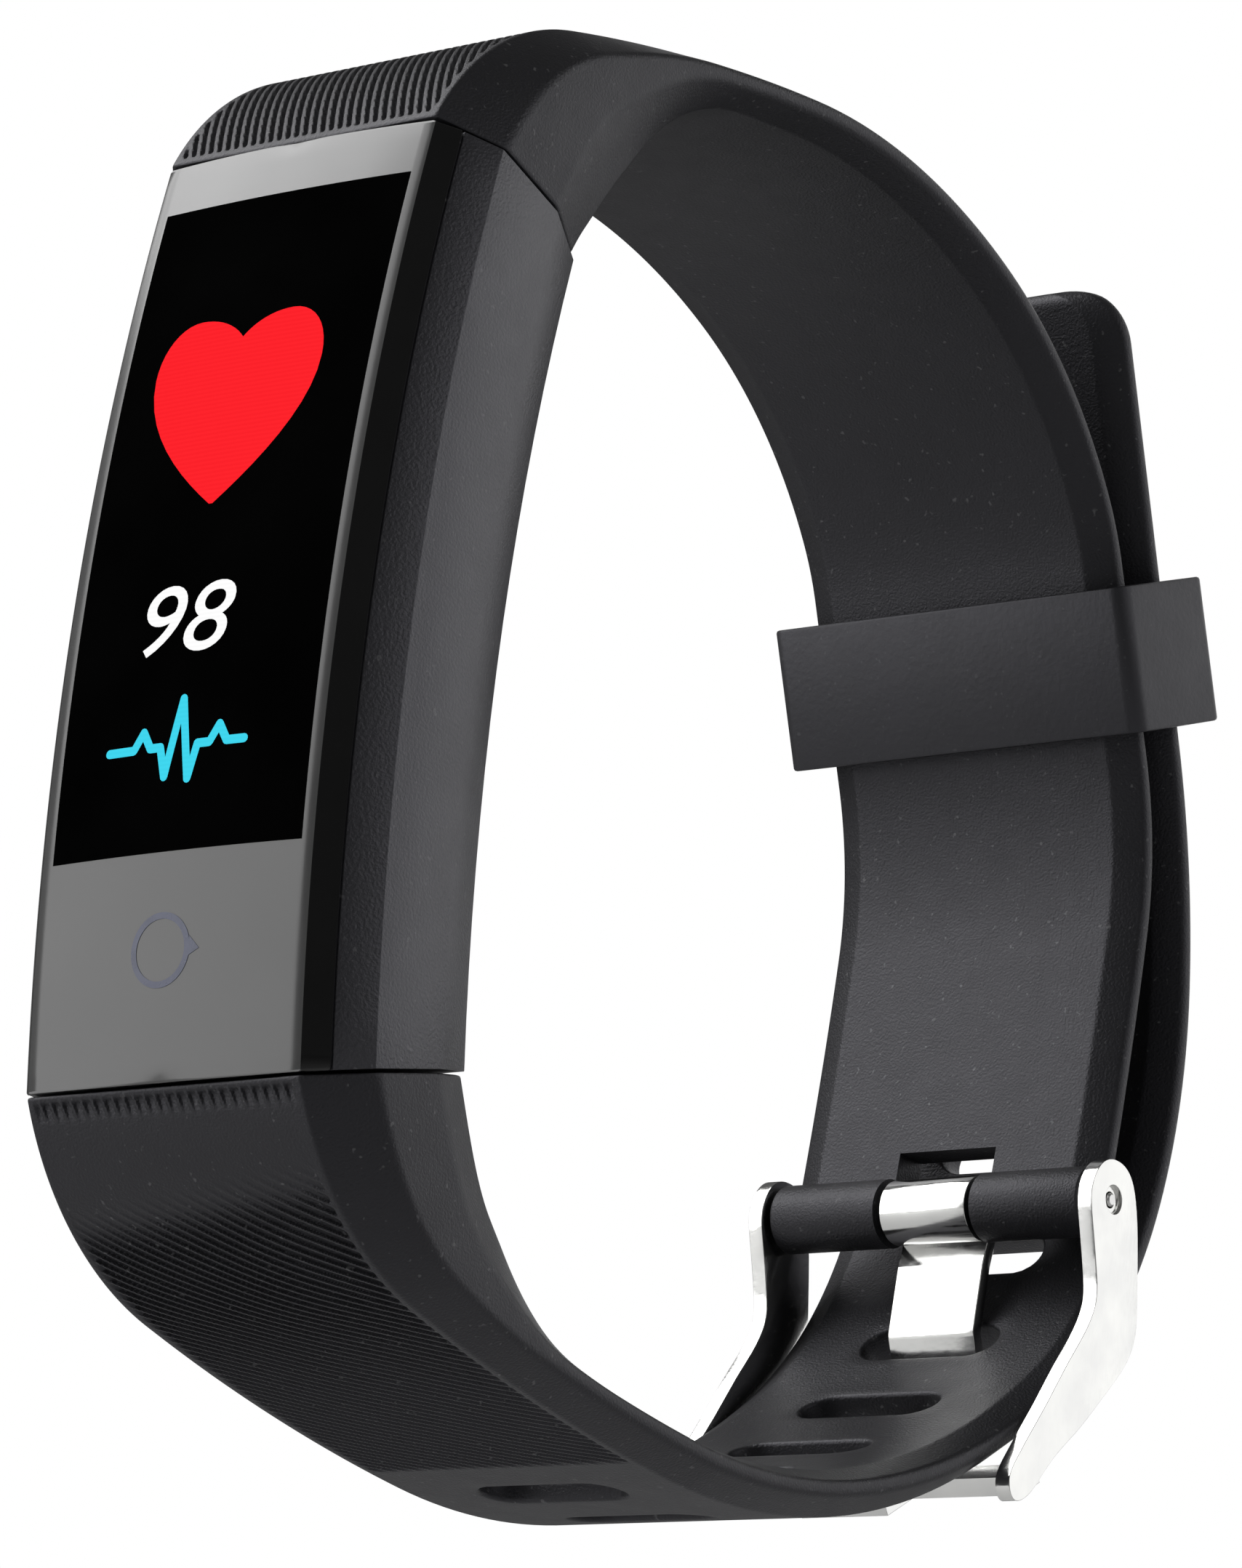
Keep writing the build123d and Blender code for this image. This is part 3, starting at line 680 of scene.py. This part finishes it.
def seam_box(side, depth, width, thick, out):
    """A pocket square to a seam: side is 1 for the upper strap and -1 for the lower one."""
    z = HALF_HEIGHT - math.tan(SEAM_SLOPE) * depth
    outwards = Vector((0, math.sin(SEAM_SLOPE), side * math.cos(SEAM_SLOPE)))
    across = Vector((0, math.cos(SEAM_SLOPE), -side * math.sin(SEAM_SLOPE)))
    centre = Vector((0, FRONT + depth, side * z)) + outwards * (out / 2 - 0.5)
    return box_mesh(centre, ((1, 0, 0), across, outwards), (width, thick, out + 1))


(end_y, end_z, end_angle) = along(UPPER, UPPER["length"])
HUB_Y = end_y + HUB_RADIUS * math.sin(end_angle)
HUB_Z = end_z - HUB_RADIUS * math.cos(end_angle)
WINDOW_HALF, WINDOW_DEEP, WINDOW_TALL, WINDOW_RISE = 3.0, 6.0, 5.5, 0.55

upper_cutters = [
    ("UNION", rod_mesh(HUB_Y, HUB_Z, HUB_RADIUS, STRAP_HALF, 0.2)),
    ("DIFFERENCE", rod_mesh(HUB_Y, HUB_Z, HUB_BORE, STRAP_HALF + 1)),
    ("DIFFERENCE", box_mesh((0, HUB_Y, HUB_Z + WINDOW_RISE), Matrix.Identity(3),
                            (2 * WINDOW_HALF, WINDOW_DEEP, WINDOW_TALL))),
    ("DIFFERENCE", seam_box(side=1, depth=6.5, width=9.3, thick=2.7, out=4.8)),
]
upper = cut(strap_mesh("upper_band", UPPER, upper_relief, 0), upper_cutters)
piece("upper_band", upper, "tracker", [strap_rubber], ["upper_strap"])

plug_pocket = seam_box(side=-1, depth=7.3, width=12.6, thick=2.6, out=8.1)
lower = strap_mesh("lower_band", LOWER, lower_relief, SLOT_COUNT)
lower = cut(lower, [("DIFFERENCE", plug_pocket)])
piece("lower_band", lower, "tracker", [strap_rubber], ["lower_strap"])

# ---- glass and display --------------------------------------------------------------------

GLASS_SINK = 0.06            # room for the lit picture inside the CAD box


def glass_depth(x):
    """y of the glass's front face at the module's middle height."""
    return FRONT - 1.8 + GLASS_SINK - (GLASS_CROWN * (1 - (x / GLASS_HALF) ** 2))


def seam_angle(radius, gap):
    """Angle about the curve's axis at which a radius meets the seam plane, less a gap."""
    reach = HALF_HEIGHT - gap / math.cos(SEAM_SLOPE)
    angle = reach / radius
    for _ in range(6):
        y = CURVE_CENTRE - radius * math.cos(angle)
        angle = math.asin((reach - math.tan(SEAM_SLOPE) * (y - FRONT)) / radius)
    return angle


def curved_mesh(name, outline, gap, end_round, steps=48):
    """A closed section (x, y) carried round the module's curve, with its ends rounded over."""
    work = bmesh.new()
    centre = sum((Vector(p) for p in outline), Vector((0, 0))) / len(outline)
    rings = []
    shares = [(-1 + 2 * k / steps) for k in range(steps + 1)]
    ends = [(0.0, 1.0), (0.3, 0.46), (0.6, 0.2), (1.0, 0.0)]
    rows = [(-1, back, inset) for back, inset in ends]
    rows += [(t, None, 0) for t in shares[1:-1]]
    rows += [(1, back, inset) for back, inset in reversed(ends)]
    for t, back, inset in rows:
        loop = []
        for point in outline:
            x, y = Vector(point) + (centre - Vector(point)).normalized() * (inset * end_round)
            radius = CURVE_CENTRE - y
            limit = seam_angle(radius, gap)
            angle = t * limit if back is None else t * (limit - back * end_round / radius)
            loop.append(work.verts.new(Vector((x, CURVE_CENTRE - radius * math.cos(angle),
                                               radius * math.sin(angle))) * MM))
        rings.append(loop)
    count = len(outline)
    for near, far in zip(rings, rings[1:]):
        for k in range(count):
            work.faces.new((near[k], near[(k + 1) % count], far[(k + 1) % count], far[k]))
    work.faces.new(rings[0])
    work.faces.new(rings[-1])
    return finished_mesh(name, work)


def glass_outline():
    """The glass's section: crowned front, crisp shoulder, sloping edge, flat back."""
    xs = spread(24, GLASS_HALF)
    front = [(x, glass_depth(x)) for x in xs]
    back_y = FRONT - 0.8
    edge_right = [(GLASS_HALF + 0.06, glass_depth(GLASS_HALF) + 0.04), (GLASS_EDGE - 0.05, back_y - 0.08),
                  (GLASS_EDGE, back_y - 0.02), (GLASS_EDGE - 0.02, back_y)]
    return front + edge_right + [(-x, y) for x, y in reversed(edge_right)]


glass = piece("cover_glass", curved_mesh("cover_glass", glass_outline(), 0.0, 0.12), "tracker",
              [glass_face(), glass_rim()], ["front_glass"])
for face in glass.data.polygons:
    face.material_index = int(abs(face.center.x) > (GLASS_HALF + 0.01) * MM)


def on_glass(x, z, lift):
    """Point in metres on the glass, lifted off it."""
    radius = CURVE_CENTRE - glass_depth(x) + lift
    return Vector((x, CURVE_CENTRE - math.sqrt(radius ** 2 - z ** 2), z)) * MM


def picture(name, outlines, lift, material, cell=0.8):
    """Flat outlines (x, z) laid on the glass as a thin lit film."""
    work = bmesh.new()
    for outline in outlines:
        loop = [work.verts.new((x, 0, z)) for x, z in outline]
        work.faces.new(loop)
    # Cut into cells first, so that the film follows the glass's curve.
    lows = [min(p[axis] for o in outlines for p in o) for axis in (0, 1)]
    highs = [max(p[axis] for o in outlines for p in o) for axis in (0, 1)]
    for axis in (0, 1):
        steps = int((highs[axis] - lows[axis]) / cell)
        for k in range(1, steps + 1):
            at = lows[axis] + k * cell
            point = (at, 0, 0) if axis == 0 else (0, 0, at)
            normal = (1, 0, 0) if axis == 0 else (0, 0, 1)
            geometry = [*work.verts, *work.edges, *work.faces]
            bmesh.ops.bisect_plane(work, geom=geometry, plane_co=point, plane_no=normal, dist=1e-5)
    film = bmesh.ops.extrude_face_region(work, geom=work.faces[:])
    top = {v for v in film["geom"] if isinstance(v, bmesh.types.BMVert)}
    for vert in work.verts:
        vert.co = on_glass(vert.co.x, vert.co.z, lift if vert in top else lift - 0.015)
    return piece(name, finished_mesh(name, work), "tracker", [material])


DISPLAY_HALF, DISPLAY_LOW, DISPLAY_HIGH = 7.35, -12.4, 20.1
picture("display_area", [[(-DISPLAY_HALF, DISPLAY_LOW), (DISPLAY_HALF, DISPLAY_LOW),
                          (DISPLAY_HALF, DISPLAY_HIGH), (-DISPLAY_HALF, DISPLAY_HIGH)]], 0.018,
        display_black())


def bezier(points, steps=10):
    """Points along one cubic curve, without its last one."""
    a, b, c, d = (Vector(p) for p in points)
    made = []
    for k in range(steps):
        t = k / steps
        made.append(a * (1 - t) ** 3 + b * (3 * t * (1 - t) ** 2) + c * (3 * t * t * (1 - t)) + d * t ** 3)
    return made


def heart(centre_x, tip_z):
    """A plain heart, from its tip round its right side, mirrored."""
    half = (bezier([(0.1, 0.04), (2.3, 1.7), (4.99, 4.2), (4.99, 6.9)])
            + bezier([(4.99, 6.9), (4.99, 8.5), (4.0, 9.6), (2.75, 9.6)])
            + bezier([(2.75, 9.6), (1.6, 9.6), (0.6, 9.15), (0.0, 8.45)]))
    left = [Vector((-p.x, p.y)) for p in reversed(half)]
    return [(centre_x + p.x, tip_z + p.y) for p in half + [Vector((0, 8.45))] + left]


picture("heart_icon", [heart(-0.36, 4.1)], 0.04, lit("heart_red", (1.0, 0.016, 0.024)))


def digits(text, left, right, low, high):
    """Slanted numerals, fitted to a box on the glass."""
    curve = bpy.data.curves.new("digits", "FONT")
    curve.body = text
    curve.shear = 0.2
    curve.resolution_u = 6
    holder = bpy.data.objects.new("digits", curve)
    bpy.context.scene.collection.objects.link(holder)
    flat = evaluated(holder)
    bpy.data.objects.remove(holder)
    xs = [v.co.x for v in flat.vertices]
    ys = [v.co.y for v in flat.vertices]
    across = (right - left) / (max(xs) - min(xs))
    upwards = (high - low) / (max(ys) - min(ys))
    places = [(left + (x - min(xs)) * across, low + (y - min(ys)) * upwards)
              for x, y in zip(xs, ys)]
    work = bmesh.new()
    verts = [work.verts.new((x, 0, z)) for x, z in places]
    for polygon in flat.polygons:
        work.faces.new([verts[k] for k in polygon.vertices])
    bmesh.ops.remove_doubles(work, verts=work.verts, dist=1e-4)
    film = bmesh.ops.extrude_face_region(work, geom=work.faces[:])
    top = {v for v in film["geom"] if isinstance(v, bmesh.types.BMVert)}
    for vert in work.verts:
        vert.co = on_glass(vert.co.x, vert.co.z, 0.04 if vert in top else 0.02)
    return finished_mesh("pulse_digits", work)


piece("pulse_digits", digits("98", -3.18, 2.05, -3.07, 0.26), "tracker",
      [lit("digit_white", (1.0, 1.0, 1.0))])


def stroke(points, width):
    """A bent line of even width, as one four-cornered outline for each run."""
    outlines = []
    for a, b in zip(points, points[1:]):
        run = Vector(b) - Vector(a)
        side = Vector((-run.y, run.x)).normalized() * width / 2
        outlines.append([tuple(Vector(a) + side), tuple(Vector(a) - side), tuple(Vector(b) - side),
                         tuple(Vector(b) + side)])
    return outlines


TRACE = [(-4.4, -7.5), (-2.9, -7.5), (-2.4, -6.7), (-1.9, -7.5), (-1.3, -7.5), (-0.9, -8.9), (-0.2, -5.3),
         (0.5, -9.1), (0.9, -7.5), (1.6, -7.5), (2.1, -6.7), (2.6, -7.5), (3.6, -7.5)]
TRACE_WIDTH = 0.42
cyan = lit("trace_cyan", (0.051, 0.68, 0.87))
picture("pulse_trace", stroke(TRACE, TRACE_WIDTH), 0.04, cyan)
turns = [2 * math.pi * k / 12 for k in range(12)]
joints = [[(x + TRACE_WIDTH / 2 * math.cos(a), z + TRACE_WIDTH / 2 * math.sin(a)) for a in turns]
          for x, z in TRACE]
picture("pulse_trace_bends", joints, 0.045, cyan)


def touch_ring(centre_x, centre_z, radius, width):
    """The touch key's mark: a thin ring with a small arrow on its right."""
    outlines = []
    steps = 48
    for k in range(steps):
        a, b = 2 * math.pi * k / steps, 2 * math.pi * (k + 1) / steps
        outlines.append([(centre_x + r * math.cos(t), centre_z + r * math.sin(t))
                         for r, t in ((radius, a), (radius + width, a), (radius + width, b), (radius, b))])
    tip = centre_x + radius + width
    outlines.append([(tip - 0.05, centre_z + 0.55), (tip - 0.05, centre_z - 0.35),
                     (tip + 0.55, centre_z - 0.05)])
    return outlines


key_print = moulded("key_print", (0.05, 0.06, 0.12), 0.25)
picture("touch_key_mark", touch_ring(-0.25, -16.9, 1.42, 0.3), 0.02, key_print, 4.0)

# ---- shells, keeper and buckle ------------------------------------------------------------

softened("housing", "module_shell", "tracker", housing_plastic, 0.1, 2)
softened("rear_cover", "wrist_cover", "tracker", cover_plastic, 0.15, 2)
softened("keeper_loop", "keeper_band", "keeper", keeper_rubber, 0.16, 2)
softened("buckle_frame", "buckle_body", "buckle", steel, 0.2, 4)
softened("buckle_prong", "prong_strip", "prong", steel, 0.12, 3)

window = window_glass()
board_green = moulded("board_green", (0.01, 0.11, 0.05), 0.3)
epoxy = moulded("epoxy", (0.015, 0.015, 0.016), 0.5)
film_amber = moulded("film_amber", (0.42, 0.17, 0.02), 0.25)
foil = turned_steel("foil", (0.72, 0.73, 0.75), 0.35)
gold = turned_steel("gold", (0.95, 0.68, 0.25), 0.2)
copper = turned_steel("copper", (0.85, 0.42, 0.2), 0.3)
led_resin = moulded("led_resin", (0.65, 0.78, 0.6), 0.12)
dark_gasket = rubber("dark_gasket", 0.006, 0.8)
KEPT = {
    "sensor_window": window,
    "glass_gasket": dark_gasket,
    "display_panel": epoxy,
    "touch_key_pad": copper,
    "display_flex": film_amber,
    "main_board": board_green,
    "board_chips": epoxy,
    "board_screws": small_steel,
    "battery": foil,
    "sensor_board": board_green,
    "sensor_leds": led_resin,
    "photodiode": epoxy,
    "motor_can": small_steel,
    "motor_shaft": small_steel,
    "motor_weight": foil,
    "charging_plug": cover_plastic,
    "charging_contacts": gold,
    "spring_bar_barrel": small_steel,
    "spring_bar_spring": small_steel,
    "spring_bar_tip_left": small_steel,
    "spring_bar_tip_right": small_steel,
}
for node, material in KEPT.items():
    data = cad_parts[node].data
    data.materials.clear()
    data.materials.append(material)

# ---- floor, light and camera --------------------------------------------------------------

def floor_paint():
    """Pale matt paint that looks bright but throws little light back up."""
    made = Nodes("floor_paint")
    made.link(made.ramp(made.noise(40.0), [(0.3, grey(0.60)), (0.7, grey(0.62))]), "Base Color")
    made.link(made.remap(made.noise(25.0), 0.66, 0.72), "Roughness")
    made.shader.inputs["Emission Color"].default_value = (1, 1, 1, 1)
    seen = made.tree.nodes.new("ShaderNodeLightPath").outputs["Is Camera Ray"]
    made.link(made.remap(seen, 0.0, 0.5, 0.0, 1.0), "Emission Strength")
    return made.material


FLOOR_Z = -0.165
FLOOR_REACH = 1.5
work = bmesh.new()
work.faces.new([work.verts.new((x * FLOOR_REACH, y * FLOOR_REACH, FLOOR_Z))
                for x, y in ((-1, -1), (1, -1), (1, 1), (-1, 1))])
floor = bpy.data.objects.new("floor", finished_mesh("floor", work))
bpy.context.scene.collection.objects.link(floor)
floor.data.materials.append(floor_paint())


def softbox(name, place, aim, size, power):
    """A rectangular soft light that looks from place towards aim, in metres and watts."""
    light = bpy.data.lights.new(name, "AREA")
    light.shape = "RECTANGLE"
    light.size, light.size_y = size
    light.energy = power
    obj = bpy.data.objects.new(name, light)
    bpy.context.scene.collection.objects.link(obj)
    obj.location = place
    obj.rotation_mode = "QUATERNION"
    obj.rotation_quaternion = (Vector(aim) - Vector(place)).to_track_quat("-Z", "Y")


MIDDLE = (0, 0.02, 0)
softbox("front_light", (-0.386, -0.449, 0.2), MIDDLE, (0.45, 0.73), 2.6)
softbox("top_light", (-0.358, -0.178, 0.439), MIDDLE, (0.4, 0.4), 1.9)
softbox("side_light", (0.42, 0.46, 0.2), MIDDLE, (0.6, 0.6), 1.3)
softbox("right_light", (0.55, -0.02, 0.22), MIDDLE, (0.4, 0.4), 0.45)
softbox("back_light", (-0.15, 0.6, 0.25), MIDDLE, (0.5, 0.5), 1.2)

ROOM_LIGHT = 0.11            # what the surroundings throw on the object
BACKDROP = 1.0               # how bright they look behind it
world = bpy.data.worlds.new("studio")
bpy.context.scene.world = world
world.use_nodes = True
tree = world.node_tree
background = tree.nodes["Background"]
path = tree.nodes.new("ShaderNodeLightPath")
strength = tree.nodes.new("ShaderNodeMapRange")
strength.inputs["To Min"].default_value = ROOM_LIGHT
strength.inputs["To Max"].default_value = BACKDROP
tree.links.new(path.outputs["Is Camera Ray"], strength.inputs["Value"])
tree.links.new(strength.outputs["Result"], background.inputs["Strength"])
background.inputs["Color"].default_value = (1, 1, 1, 1)
bpy.context.scene.view_settings.view_transform = "Standard"

CAMERA_PLACE = Vector((0.192712, -0.219068, -0.097541))
CAMERA_AIM = Vector((0.01349, 0.003299, -0.005712))
CAMERA_ROLL = math.radians(7.34)
camera = bpy.data.objects.new("camera", bpy.data.cameras.new("camera"))
bpy.context.scene.collection.objects.link(camera)
camera.data.lens = 151.6
camera.data.sensor_width = 36
camera.data.clip_start = 0.01
camera.location = CAMERA_PLACE
camera.rotation_mode = "QUATERNION"
camera_turn = (CAMERA_AIM - CAMERA_PLACE).to_track_quat("-Z", "Y")
camera.rotation_quaternion = camera_turn @ Quaternion((0, 0, 1), CAMERA_ROLL)
bpy.context.scene.camera = camera
